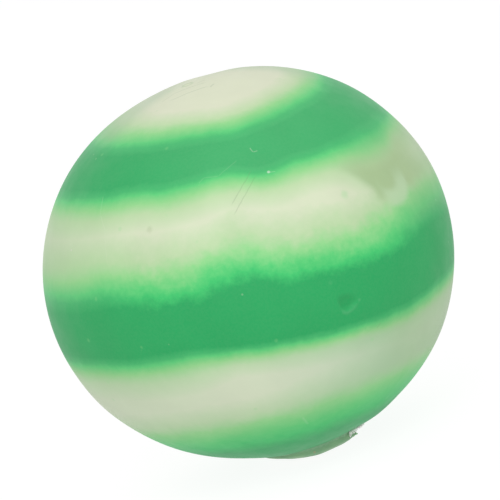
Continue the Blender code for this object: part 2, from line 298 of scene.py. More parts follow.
class SkinSettings(bpy.types.PropertyGroup):
    """Sizes and colours of the skin and what shows through it."""

    around: bpy.props.IntProperty(name="Columns", description="Faces round the skin", default=320, min=32)
    rings: bpy.props.IntProperty(name="Rings", description="Faces from pole to pole", default=200, min=24)
    wall: length_prop("Wall", "Thickness of the rubber", 1.6)
    hole: length_prop("Fill hole", "Diameter of the hole that the dough goes in by", 8.0)
    collar: length_prop("Collar", "Diameter of the thick ring round the hole, inside", 15.0)
    collar_rise: length_prop("Collar rise", "How far the collar stands above the wall", 2.2)
    dimple: length_prop("Dimple", "Depth of the small dent at the front", 0.4)
    pocket: length_prop("Pocket sink", "How far the skin sinks over the air pocket", 0.25)
    cream: colour_prop("Cream dough", "Plain dough through the skin", (222, 227, 200))
    pale: colour_prop("First tint", "Cream that a little dye has reached", (192, 219, 172))
    tint: colour_prop("Tint", "Half dyed dough", (146, 214, 141))
    edge: colour_prop("Seam", "Green at a stripe's edge", (92, 205, 122))
    rim: colour_prop("Stripe rim", "Green just inside the seam", (64, 184, 109))
    core: colour_prop("Stripe", "Full green", (36, 168, 95))
    bloom_tint: colour_prop("Bloom tint", "Half dyed dough where the dye has bloomed", (147, 217, 143))
    bloom_edge: colour_prop("Bloom seam", "Bright seam where the dye has bloomed", (92, 209, 121))
    bloom_rim: colour_prop("Bloom rim", "Bright green inside that seam", (62, 200, 111))
    # painted shade: the dough seen across the air pocket is darker and olive, as shade in its recess
    olive: colour_prop("Pocket", "Dough seen across the air pocket", (168, 195, 146))
    squeezed: number_prop("Squeezed", "Height left at full squeeze", 0.63, subtype="FACTOR", min=0.2, max=1)


class PatchSettings(bpy.types.PropertyGroup):
    """Sizes and colours of the patch, its glue and the stopper."""

    thickness: length_prop("Thickness", "Patch, from the skin to its outer face", 1.45)
    taper: length_prop("Taper", "How far the patch thins out at its left", 8.0)
    bead: length_prop("Glue bead", "Width of the glue round the patch", 0.6)
    rubber: colour_prop("Patch rubber", "Olive grey rubber", (140, 184, 140))
    glue: colour_prop("Set glue", "Thin dried glue over the green", (130, 178, 137))
    torn: colour_prop("Torn glue", "White scraps of glue", (247, 248, 245))
    plug: colour_prop("Stopper rubber", "Grey rubber", (196, 200, 190))


class StageSettings(bpy.types.PropertyGroup):
    """Camera and light."""

    distance: length_prop("Distance", "From the camera to the ball's middle", 520.0)
    elevation: angle_prop("Elevation", "Camera above the ball's waist", 9)
    roll: angle_prop("Roll", "Lean of the ball in the picture", 18.5)
    ball_share: number_prop("Ball width", "Share of the picture that the ball fills", 0.8305, min=0.1, max=1)
    key: number_prop("Key", "Key lamp power", 2.3, unit="POWER", min=0)
    ambient: number_prop("Ambient", "Light from all round", 0.7, min=0)
    bounce: number_prop("Bounce", "Light that the floor gives back", 0.915, min=0)
    floor: colour_prop("Floor", "Pale floor", (236, 236, 234))


# Shapes


def start_piece(name):
    """Renames what the last operator added, at the origin, and returns it."""
    piece = bpy.context.object
    piece.name = name
    piece.data.name = name
    bpy.ops.object.transform_apply(location=True, rotation=True, scale=True)
    return piece


def deselect():
    if bpy.context.object and bpy.context.object.mode != "OBJECT":
        bpy.ops.object.mode_set(mode="OBJECT")
    bpy.ops.object.select_all(action="DESELECT")


def select_only(piece):
    deselect()
    piece.select_set(True)
    bpy.context.view_layer.objects.active = piece


def read(items, key, width=1, kind=float):
    """One property of all items, with one row for each item if it holds more than one number."""
    found = np.empty(len(items) * width, kind)
    items.foreach_get(key, found)
    return found if width == 1 else found.reshape(-1, width)


def places(piece):
    """The piece's points in mm."""
    return read(piece.data.vertices, "co", 3) / MM


def face_centres(piece):
    return read(piece.data.polygons, "center", 3) / MM


def place(piece, points):
    piece.data.vertices.foreach_set("co", (points * MM).ravel())
    piece.data.update()


def pick_faces(piece, chosen):
    """Goes to edit mode with only these faces selected."""
    bpy.ops.object.mode_set(mode="OBJECT")
    mesh = piece.data
    mesh.vertices.foreach_set("select", np.zeros(len(mesh.vertices), bool))
    mesh.edges.foreach_set("select", np.zeros(len(mesh.edges), bool))
    mesh.polygons.foreach_set("select", np.asarray(chosen, bool))
    bpy.ops.object.mode_set(mode="EDIT")
    bpy.ops.mesh.select_mode(type="FACE")


def pick_all():
    """Goes to edit mode with all faces selected."""
    bpy.ops.object.mode_set(mode="EDIT")
    bpy.ops.mesh.select_mode(type="FACE")
    bpy.ops.mesh.select_all(action="SELECT")


def turn_outwards():
    """Points all faces outwards and leaves edit mode."""
    bpy.ops.mesh.select_all(action="SELECT")
    bpy.ops.mesh.normals_make_consistent(inside=False)
    bpy.ops.object.mode_set(mode="OBJECT")


def extrude_along(extrude, path, radius, height):
    """Extrudes what is selected from a radius and a height to those of the path, one after the other."""
    for new_radius, new_height in path:
        extrude(TRANSFORM_OT_translate={"value": (0, 0, (new_height - height) * MM)})
        scale = new_radius / radius
        bpy.ops.transform.resize(value=(scale, scale, 1), center_override=(0, 0, 0))
        radius, height = new_radius, new_height


def apply_modifier(piece, kind, **values):
    select_only(piece)
    made = piece.modifiers.new(kind.title(), kind)
    for key, value in values.items():
        setattr(made, key, value)
    bpy.ops.object.modifier_apply(modifier=made.name)


def round_edges(piece, width, degrees):
    """Bevels the edges that are sharper than an angle."""
    limit = math.radians(degrees)
    apply_modifier(piece, "BEVEL", width=width * MM, segments=3, limit_method="ANGLE", angle_limit=limit)


def store(piece, name, values):
    """Keeps a number or a vector for each point, for the material."""
    kind, key = ("FLOAT", "value") if values.ndim == 1 else ("FLOAT_VECTOR", "vector")
    held = piece.data.attributes.new(name, kind, "POINT")
    held.data.foreach_set(key, values.astype(np.float32).ravel())


def ease(x):
    x = np.clip(x, 0, 1)
    return x * x * (3 - 2 * x)


def between(x, start, full):
    """0 at the start, eased to 1 where it is full."""
    return ease((x - start) / (full - start))


def hump(distance):
    """1 at the middle, 0 from distance 1 on."""
    return ease(1 - np.abs(distance))


def azimuth_of(points):
    """0 at the front, growing to the right, in degrees."""
    return np.degrees(np.arctan2(points[:, 0], -points[:, 1]))


def radius_of(points):
    """Distance from the axis."""
    return np.hypot(points[:, 0], points[:, 1])


def points_round(radius, turn, height):
    """Points at distances from the axis, turns from the front in radians, and heights."""
    return np.stack([radius * np.sin(turn), -radius * np.cos(turn), height], 1)


def edge_height(name, azimuth):
    """A smooth closed curve through the edge's points."""
    at, up = np.array(STRIPE_EDGES[name], float).T
    at = np.concatenate([at[-2:] - 360, at, at[:3] + 360])
    up = np.concatenate([up[-2:], up, up[:3]])
    slope = np.gradient(up, at)
    k = np.clip(np.searchsorted(at, azimuth, side="right") - 1, 0, len(at) - 2)
    span = at[k + 1] - at[k]
    t = (azimuth - at[k]) / span
    return (
        (2 * t**3 - 3 * t**2 + 1) * up[k]
        + (t**3 - 2 * t**2 + t) * span * slope[k]
        + (3 * t**2 - 2 * t**3) * up[k + 1]
        + (t**3 - t**2) * span * slope[k + 1]
    )


def ball_point(azimuth, height):
    """A point on the skin, in mm, height from the ball's middle."""
    r = HALF_WIDTH * math.sqrt(max(0, 1 - (height / HALF_HEIGHT) ** 2))
    a = math.radians(azimuth)
    return np.array([r * math.sin(a), -r * math.cos(a), height])


def underside(radius):
    """Height of the ball's underside at a distance from the axis, in mm."""
    return CENTRE_Z - HALF_HEIGHT * np.sqrt(np.clip(1 - (radius / HALF_WIDTH) ** 2, 0, 1))


def follow_squeeze(piece, body):
    """Rides on the body, with a mesh of its own."""
    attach(piece, body)
    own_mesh(piece)


def finish_piece(piece, node, material, body="base", sharp=None):
    """Shades the piece smooth, up to an angle if one is given, gives it its look, hides its CAD node and puts
    it on its body.
    """
    if "rest_place" not in piece.data.attributes:
        store(piece, "rest_place", places(piece))
    select_only(piece)
    if sharp is None:
        bpy.ops.object.shade_smooth()
    else:
        bpy.ops.object.shade_smooth_by_angle(angle=math.radians(sharp))
    piece.data.materials.append(material)
    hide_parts(node)
    follow_squeeze(piece, body)


# Materials


class Board:
    """Adds and links nodes in one tree."""

    def __init__(self, tree):
        self.tree = tree

    def add(self, kind, out=0, inputs=None, **values):
        made = self.tree.nodes.new(kind)
        for key, value in values.items():
            setattr(made, key, value)
        for key, value in (inputs or {}).items():
            self.feed(made.inputs[key], value)
        return made if out is None else made.outputs[out]

    def feed(self, socket, value):
        if isinstance(value, bpy.types.NodeSocket):
            self.tree.links.new(value, socket)
        elif socket.type == "RGBA" and len(value) == 3:
            socket.default_value = (*value, 1)
        else:
            socket.default_value = value

    def math(self, operation, *given):
        return self.add("ShaderNodeMath", inputs=dict(enumerate(given)), operation=operation)

    def measure(self, operation, *given):
        """A number from one or two vectors."""
        return self.add("ShaderNodeVectorMath", "Value", dict(enumerate(given)), operation=operation)

    def fold(self, operation, whole, *others):
        for other in others:
            whole = self.math(operation, whole, other)
        return whole

    def product(self, *factors):
        return self.fold("MULTIPLY", *factors)

    def off(self, value, middle):
        """How far a value is from a middle one."""
        return self.math("ABSOLUTE", self.math("SUBTRACT", value, middle))

    def step(self, value, low, high, to_low, to_high):
        return self.add(
            "ShaderNodeMapRange",
            inputs={"Value": value, "From Min": low, "From Max": high, "To Min": to_low, "To Max": to_high},
            interpolation_type="SMOOTHSTEP",
        )

    def rise(self, value, low, high, top=1.0):
        return self.step(value, low, high, 0.0, top)

    def fall(self, value, low, high, top=1.0):
        return self.step(value, low, high, top, 0.0)

    def varied(self, value, start, *changes):
        """A number that changes along a value: from, to, and by how much."""
        return self.fold("ADD", start, *(self.rise(value, *change) for change in changes))

    def mix(self, factor, a, b, blend="MIX"):
        inputs = {0: factor, 6: a, 7: b}
        return self.add("ShaderNodeMix", 2, inputs, data_type="RGBA", blend_type=blend)

    def over(self, colour, name, *masks):
        """Lays a tone over a colour where all masks show it."""
        return self.mix(self.product(*masks), colour, tone(name))

    def attribute(self, name, out="Fac"):
        return self.add("ShaderNodeAttribute", out, attribute_name=name)

    def noise(self, vector, scale, detail=2.0, roughness=0.5):
        inputs = {"Vector": vector, "Scale": scale, "Detail": detail, "Roughness": roughness}
        return self.add("ShaderNodeTexNoise", inputs=inputs)

    def ramp(self, value, stops):
        made = self.add("ShaderNodeValToRGB", None, {"Fac": value})
        bar = made.color_ramp.elements
        while len(bar) < len(stops):
            bar.new(0.5)
        for held, (at, _) in zip(bar, stops):
            held.position = at
        for held, (_, rgb) in zip(bar, stops):
            held.color = (*rgb, 1)
        return made.outputs["Color"]

    def rays(self, *kinds):
        """1 for rays of these kinds."""
        path = self.add("ShaderNodeLightPath", None)
        return self.fold("MAXIMUM", *(path.outputs[f"Is {kind} Ray"] for kind in kinds))

    def finish(self, shader, colour, rough, height, strength=1.0, **plain):
        """Feeds the shader what changes over the surface, heights in mm, and sets its plain numbers."""
        bump = self.add("ShaderNodeBump", inputs={"Height": height, "Strength": strength, "Distance": MM})
        for key, value in {"Base Color": colour, "Roughness": rough, "Normal": bump}.items():
            self.feed(shader.inputs[key], value)
        for key, value in plain.items():
            shader.inputs[key.replace("_", " ")].default_value = value


def new_group(name, vectors, numbers, output):
    """An empty node group, its board, its inputs by name, and the socket for its output."""
    tree = bpy.data.node_groups.new(name, "ShaderNodeTree")
    for kind, labels in (("NodeSocketVector", vectors), ("NodeSocketFloat", numbers)):
        for label in labels:
            tree.interface.new_socket(label, in_out="INPUT", socket_type=kind)
    tree.interface.new_socket(output, in_out="OUTPUT", socket_type="NodeSocketFloat")
    given = tree.nodes.new("NodeGroupInput").outputs
    return tree, Board(tree), given, tree.nodes.new("NodeGroupOutput").inputs[output]


def dye_edge():
    """How deep a place is inside a stripe, in units of the edge's softness, with dye blotches. Past the
    tail's start the dye thins out over the tail's own length."""
    numbers = ("Distance", "Softness", "Tail", "Speckle", "Speckle Amount")
    tree, board, given, out = new_group("dye_edge", (), numbers, "Depth")
    moved = board.math("MULTIPLY_ADD", given["Speckle"], given["Speckle Amount"], given["Distance"])
    near = board.math("DIVIDE", moved, given["Softness"])
    past = board.math("MULTIPLY_ADD", given["Softness"], TAIL_START, moved)
    far = board.math("SUBTRACT", board.math("DIVIDE", past, given["Tail"]), TAIL_START)
    board.feed(out, board.math("MINIMUM", near, far))
    return tree


def fine_mark():
    """A fine straight mark: where a plane cuts the surface near the start, between two ends."""
    vectors = ("Place", "Start", "Along", "Across")
    tree, board, given, out = new_group("fine_mark", vectors, ("Length", "Width"), "Mask")
    ends = {0: given["Place"], 1: given["Start"]}
    from_start = board.add("ShaderNodeVectorMath", inputs=ends, operation="SUBTRACT")
    wander = board.math("MULTIPLY_ADD", board.noise(given["Place"], 0.7, 1.0), 0.3, -0.15)
    across = board.math("ADD", board.measure("DOT_PRODUCT", from_start, given["Across"]), wander)
    thin = board.fall(board.math("DIVIDE", board.math("ABSOLUTE", across), given["Width"]), 0.3, 1.0)
    along = board.measure("DOT_PRODUCT", from_start, given["Along"])
    share = board.math("DIVIDE", along, given["Length"])
    long = board.fall(board.off(share, 0.5), 0.36, 0.5)
    near = board.fall(board.measure("LENGTH", from_start), 14.0, 16.0)
    board.feed(out, board.product(thin, long, near))
    return tree


def fleck():
    """Sparse round flecks of one size."""
    tree, board, given, out = new_group("fleck", ("Place",), ("Spacing", "Size", "Share"), "Mask")
    scale = board.math("DIVIDE", 1.0, given["Spacing"])
    cells = board.add("ShaderNodeTexVoronoi", None, {"Vector": given["Place"], "Scale": scale}, feature="F1")
    distance = board.product(cells.outputs["Distance"], given["Spacing"])
    wobble = board.math("MULTIPLY_ADD", board.noise(given["Place"], 2.2), 0.5, 0.75)
    dot = board.fall(board.math("DIVIDE", distance, board.product(given["Size"], wobble)), 0.4, 1.0)
    pick = board.add("ShaderNodeSeparateColor", inputs={0: cells.outputs["Color"]})
    board.feed(out, board.product(dot, board.math("LESS_THAN", pick, given["Share"])))
    return tree


def spot():
    """One soft spot round a place."""
    tree, board, given, out = new_group("spot", ("Place", "Centre"), ("Size",), "Mask")
    away = board.measure("DISTANCE", given["Place"], given["Centre"])
    uneven = board.math("MULTIPLY_ADD", board.noise(given["Place"], 1.6), 0.8, 0.6)
    board.feed(out, board.fall(board.math("DIVIDE", away, board.product(given["Size"], uneven)), 0.2, 1.0))
    return tree


def use_group(board, build, **inputs):
    """Adds a group's node, built the first time, and returns its output."""
    tree = bpy.data.node_groups.get(build.__name__) or build()
    named = {key.replace("_", " ").title(): value for key, value in inputs.items()}
    return board.add("ShaderNodeGroup", inputs=named, node_tree=tree)


def new_material(name):
    """A material, its board, its Principled BSDF and the place on the piece at rest, in mm."""
    made = bpy.data.materials.new(name)
    made.use_nodes = True
    board = Board(made.node_tree)
    return made, board, made.node_tree.nodes["Principled BSDF"], board.attribute("rest_place", "Vector")


def fine_marks(board, rest, marks):
    """All the fine marks of one list in one mask."""
    masks = []
    for start, end, width, strength in marks:
        a, b = ball_point(*start), ball_point(*end)
        overrun = (b - a) * MARK_OVERRUN
        whole = b - a + 2 * overrun
        a = a - overrun
        length = float(np.linalg.norm(whole))
        along = whole / length
        across = np.cross((a + b) / np.linalg.norm(a + b), along)
        ways = {"start": tuple(a), "along": tuple(along), "across": tuple(across)}
        mask = use_group(board, fine_mark, place=rest, length=length, width=width, **ways)
        masks.append(board.product(mask, strength))
    return board.fold("MAXIMUM", *masks)


def stripe_depth(board, aside, front, speckle):
    """How deep a place is inside a green stripe, from all five edges."""
    depth = {}
    for name, (side, softness, tail, (amount, more)) in DYE_EDGES.items():
        depth[name] = use_group(
            board,
            dye_edge,
            distance=board.product(board.attribute(name), side),
            softness=board.varied(aside, *softness),
            tail=board.varied(aside, *tail),
            speckle=speckle,
            speckle_amount=board.math("MULTIPLY_ADD", front, more, amount) if more else amount,
        )
    top = board.math("SMOOTH_MIN", depth["crown_edge"], depth["upper_edge"], STRIPE_ROUNDING)
    waist = board.math("SMOOTH_MIN", depth["middle_edge"], depth["lower_edge"], STRIPE_ROUNDING)
    return board.fold("MAXIMUM", top, waist, depth["base_edge"])


def dyed_dough(board, p, inside, aside, front):
    """Cream to green by depth. The dye has bloomed along the middle stripe's top and at the bottom, but not
    at the sides, and the seams are muted at the right, which is painted shade."""
    first, last = DYE_STOPS[0][0], DYE_STOPS[-1][0]
    dye = board.add("ShaderNodeMapRange", inputs={"Value": inside, "From Min": first, "From Max": last})

    def dyed(kind):
        stops = []
        for at, key in DYE_STOPS:
            rgb = getattr(p, kind + key if hasattr(p, kind + key) else key)
            stops.append(((at - first) / (last - first), tuple(rgb)))
        return board.ramp(dye, stops)

    middle = board.fall(board.off(board.attribute("middle_edge"), 2.0), 4.5, 7.5)
    bottom = board.fall(board.attribute("base_edge"), 7.0, 10.0)
    bloom = board.product(board.math("MAXIMUM", middle, bottom), front)
    colour = board.mix(bloom, dyed(""), dyed("bloom_"))
    # painted shade: the seams turn greyer and darker towards the right
    muted = []
    for name, at, near, far, strength, start, full in SHADED_SEAMS:
        strip = board.fall(board.off(board.attribute(name), at), near, far, strength)
        muted.append(board.product(strip, board.rise(aside, start, full)))
    return board.over(colour, "muted", board.fold("ADD", *muted))


def uneven_dough(board, colour, inside, plain, aside, behind, height):
    """The slow changes of tone in the stripes and in the plain dough between them, by depth inside a stripe
    and by place, in mm from the ball's middle and from the stripe edges, with painted sheen on the upper
    stripe and painted shade at the sides and at the crown's back."""
    # painted sheen: light from above makes the upper stripe a little milky, less at its ends
    green = board.rise(inside, -0.4, 1.2)
    upper_half = board.rise(board.attribute("middle_edge"), 8.0, 13.0)
    from_left = board.step(aside, -19.0, 2.0, 0.18, 1.0)
    to_right = board.step(aside, 12.0, 24.0, 0.064, 0.04)
    colour = board.over(colour, "upper_stripe_sheen", green, upper_half, from_left, to_right)
    # the dough below the crown has taken up a little dye, and painted shade makes it darker and greener
    # towards the left and right sides
    low = board.fall(board.attribute("lower_edge"), -3.0, 1.0)
    not_low = board.math("MULTIPLY_ADD", low, -0.75, 1.0)
    below_crown = board.fall(board.attribute("upper_edge"), -5.0, -1.0, 0.13)
    # painted shade: the left side is darker and greener, a little in the lower cream too
    left = board.product(board.fall(aside, -34.0, -10.0, 0.28), not_low)
    low_left = board.product(board.fall(aside, -18.0, -8.0, 0.06), low)
    colour = board.over(colour, "left", board.fold("ADD", below_crown, left, low_left), plain)
    # painted shade: the right side is darker and greyer green, more of it in the lower cream
    right = board.rise(aside, 15.0, 34.0, 0.56)
    more = board.math("SUBTRACT", board.rise(aside, 3.0, 21.0, 0.74), right)
    colour = board.over(colour, "right", board.math("MULTIPLY_ADD", more, low, right), plain)
    front = board.product(board.rise(aside, -8.0, 10.0, 0.17), board.fall(aside, 14.0, 22.0))
    colour = board.over(colour, "low", front, low, plain)
    # below the middle stripe it is cooler, and painted shade makes the crown darker and duller towards the
    # back
    colour = board.over(colour, "cool", low, plain, 0.12)
    back = board.rise(board.math("MULTIPLY_ADD", board.off(aside, 6.0), 0.57, behind), -3.5, 4.3, 0.45)
    off_middle = board.step(board.off(aside, 1.0), 0.0, 8.0, 0.25, 1.0)
    cream = board.fall(inside, -2.0, 0.6)
    return board.over(colour, "crown_back_shade", back, off_middle, cream, board.rise(height, 24.0, 28.0))


def skin_material(p):
    """Striped dough through clear satin rubber: dye edges, blotches, an air pocket, specks and marks, with
    painted shade and painted highlights.
    """
    made, board, shader, rest = new_material("clear_rubber_over_dough")
    fine = board.math("SUBTRACT", board.noise(rest, 0.85, 3.0, 0.6), 0.5)
    blotch = board.math("SUBTRACT", board.noise(rest, 0.24), 0.5)
    speckle = board.math("MULTIPLY_ADD", fine, 0.75, blotch)
    aside, behind, height = board.add("ShaderNodeSeparateXYZ", None, {0: rest}).outputs
    front = board.fall(board.off(aside, 3.0), 17.0, 31.0)
    inside = stripe_depth(board, aside, front, speckle)
    plain = board.fall(inside, -4.6, -1.2)
    colour = dyed_dough(board, p, inside, aside, front)
    colour = uneven_dough(board, colour, inside, plain, aside, behind, height)
    # the air pocket, its dough painted darker and olive as painted shade in the recess, and the pale crescent
    # where the dough meets the skin again, partly a painted highlight
    gap = board.rise(board.math("MULTIPLY_ADD", speckle, 0.8, board.attribute("pocket")), -1.1, 1.6)
    gap = board.product(gap, board.attribute("pocket_fade"), plain)
    colour = board.mix(gap, colour, tuple(p.olive))
    colour = board.over(colour, "crescent", board.attribute("pocket_rim"), 0.78)
    # a little unevenness, flecks of dye and pale dust
    mottle = board.step(board.noise(rest, 0.13, 3.0), 0.3, 0.7, 0.98, 1.02)
    colour = board.mix(1.0, colour, mottle, "MULTIPLY")
    flecks = use_group(board, fleck, place=rest, spacing=3.6, size=0.5, share=0.22)
    colour = board.mix(board.product(flecks, 0.22), colour, tuple(p.tint))
    dust = use_group(board, fleck, place=rest, spacing=2.7, size=0.26, share=0.16)
    grit = board.rise(board.noise(rest, 2.4, 3.0, 0.6), 0.35, 0.65, 0.015)
    colour = board.over(colour, "dust", board.math("MULTIPLY_ADD", dust, 0.2, grit))
    for azimuth, up, size, strength, rgb in SPOTS:
        mask = use_group(board, spot, place=rest, centre=tuple(ball_point(azimuth, up)), size=size)
        colour = board.mix(board.product(mask, strength), colour, linear(*rgb))
    scored = fine_marks(board, rest, SCRATCHES)
    colour = board.over(colour, "scratch", scored)
    colour = board.over(colour, "thread", fine_marks(board, rest, THREADS))
    # painted shade makes the dimple deeper green in its bowl, and a painted highlight makes its lip paler
    for name, strength in (("dimple_bowl", 0.18), ("dimple_lip", 0.12), ("gate_ring", 0.45)):
        colour = board.over(colour, name, board.attribute(name), strength)
    satin = board.step(board.noise(rest, 0.35, 3.0), 0.3, 0.7, 0.52, 0.62)
    grain = board.product(board.noise(rest, 5.0), 0.012)
    wave = board.product(board.noise(rest, 0.5), 0.05)
    board.finish(
        shader,
        colour,
        board.math("MULTIPLY_ADD", scored, 0.6, satin),
        board.math("SUBTRACT", board.math("ADD", grain, wave), board.product(scored, 0.15)),
        strength=0.5,
        Specular_IOR_Level=0.35,
        IOR=1.45,
        Sheen_Weight=0.1,
        Sheen_Roughness=0.35,
        Coat_Weight=0.06,
        Coat_Roughness=0.35,
    )
    return made


def dough_material(name, plain, deep):
    """Soft dough: two close tones in blotches, with a fine grain."""
    made, board, shader, rest = new_material(name)
    blotch = board.rise(board.noise(rest, 0.3, 4.0, 0.6), 0.35, 0.65)
    flecks = use_group(board, fleck, place=rest, spacing=1.9, size=0.35, share=0.3)
    colour = board.over(board.mix(blotch, plain, deep), "dough_fleck", flecks, 0.35)
    grain = board.product(board.noise(rest, 2.6, 4.0, 0.6), 0.12)
    board.finish(shader, colour, board.step(blotch, 0.0, 1.0, 0.62, 0.74), grain)
    return made


def rubber_material(name, plain, deep, warm):
    """Moulded rubber: clouded, with warm flecks and a satin face."""
    made, board, shader, rest = new_material(name)
    cloud = board.rise(board.noise(rest, 0.45, 3.0), 0.3, 0.7)
    flecks = use_group(board, fleck, place=rest, spacing=1.3, size=0.3, share=0.35)
    colour = board.over(board.mix(cloud, plain, tone(deep)), warm, flecks, 0.45)
    grain = board.product(board.noise(rest, 3.5, 3.0), 0.06)
    satin = board.step(cloud, 0.0, 1.0, 0.5, 0.6)
    board.finish(shader, colour, satin, grain, Specular_IOR_Level=0.35)
    return made


def glue_material(name, milky, thick, rubber=None):
    """Dried glue: milky, of another tone where it is thick, fibrous. Torn scraps of it let light through, and
    some still hold rubber."""
    made, board, shader, rest = new_material(name)
    fibre = board.noise(rest, 1.6, 4.0, 0.7)
    colour = board.mix(board.rise(fibre, 0.3, 0.7), milky, tone(thick))
    clear = {}
    if rubber:
        colour = board.mix(board.attribute("rubber_left"), colour, rubber)
        clear = {"Subsurface_Weight": 0.7, "Subsurface_Radius": (1, 1, 1), "Subsurface_Scale": 0.8 * MM}
    board.finish(shader, colour, board.step(fibre, 0.3, 0.7, 0.35, 0.55), board.product(fibre, 0.1), **clear)
    return made


# Pieces


def pocket_field(azimuth, height):
    """How far inside the air pocket a place is, in mm, and how strongly the pale crescent below it shows,
    which is partly a painted highlight.
    """
    aside = (azimuth - np.interp(height, *zip(*POCKET_LEFT))) * POCKET_DEGREE
    up = height - np.interp(azimuth, *zip(*POCKET_FLOOR))
    corner = 0.5
    inside = -corner * np.logaddexp(-aside / corner, -up / corner)
    ring = np.hypot((azimuth - CRESCENT_AT[0]) * POCKET_DEGREE, height - CRESCENT_AT[1])
    rim = between(ring, 5.3, 4.4) * between(ring, 1.6, 2.8)
    return inside, rim * between(azimuth, 43.5, 47.5) * between(height, 10.8, 7.6)


def dimple_field(points):
    """The dimple's bowl and its lip, which curls up at both ends like a leaf; the skin's material paints
    shade in the bowl and a highlight on the lip. It leans with the ball.
    """
    turn, lean = math.radians(DIMPLE_AT[0]), math.radians(DIMPLE_LEAN)
    off = points - ball_point(*DIMPLE_AT)
    along, up = off @ np.array([math.cos(turn), math.sin(turn), 0]), off[:, 2]
    across = along * math.cos(lean) - up * math.sin(lean)
    rise = along * math.sin(lean) + up * math.cos(lean)
    # the lip's lowest place is left of the middle and below it, and its right end curls up less
    lowest, drop = -0.1, 1.35
    curl = np.where(across > lowest, 0.34, 0.6) * (across - lowest) ** 2
    above = rise + drop - curl
    bowl = ease(1.25 * (1 - np.hypot(across / 2.7, (rise - 0.1) / 1.9))) * between(above, 0.1, 1.0)
    lip = hump(above / 0.5) * between(across, -1.2, -0.6) * between(across, 2.2, 1.4)
    near = points[:, 1] < 0
    return bowl * near, lip * near


def gate_field(points):
    """The mark of the mould's gate near the top: a low ring and the floor inside it."""
    away = np.hypot(points[:, 0] - GATE_AT[0], points[:, 1] - GATE_AT[1])
    above = points[:, 2] > 0
    return hump((away - 0.85) / 0.4) * above, hump(away / 0.8) * above


def skin_relief(points, p):
    """How far the skin stands out from a true oval, in mm."""
    across, behind, height = points.T
    azimuth = azimuth_of(points)
    turn = np.radians(azimuth)
    waist = np.sqrt(np.clip(1 - (height / HALF_HEIGHT) ** 2, 0, 1))
    relief = 0.10 * waist * np.sin(2 * turn + 0.7 + height / 17)
    relief += 0.06 * waist * np.sin(3 * turn - 1.1 - height / 9)
    relief += 0.05 * np.sin(height / 6.5 + 2 * np.cos(turn))
    for x, y, reach, depth in CROWN_HOLLOWS:
        relief -= depth * hump(np.hypot(across - x, behind - y) / reach) * (height > 0)
    for x, z, reach, amount in SWELLINGS:
        relief += amount * hump(np.hypot(across - x, height - z) / reach)
    inside, _ = pocket_field(azimuth, height)
    sunk = between(inside, -1.5, 2.5) * between(azimuth, 78, 63) * between(height, 19, 15)
    bowl, lip = dimple_field(points)
    ring, floor = gate_field(points)
    return relief - p.pocket / MM * sunk + 0.06 * lip - p.dimple / MM * bowl + 0.1 * ring - 0.08 * floor


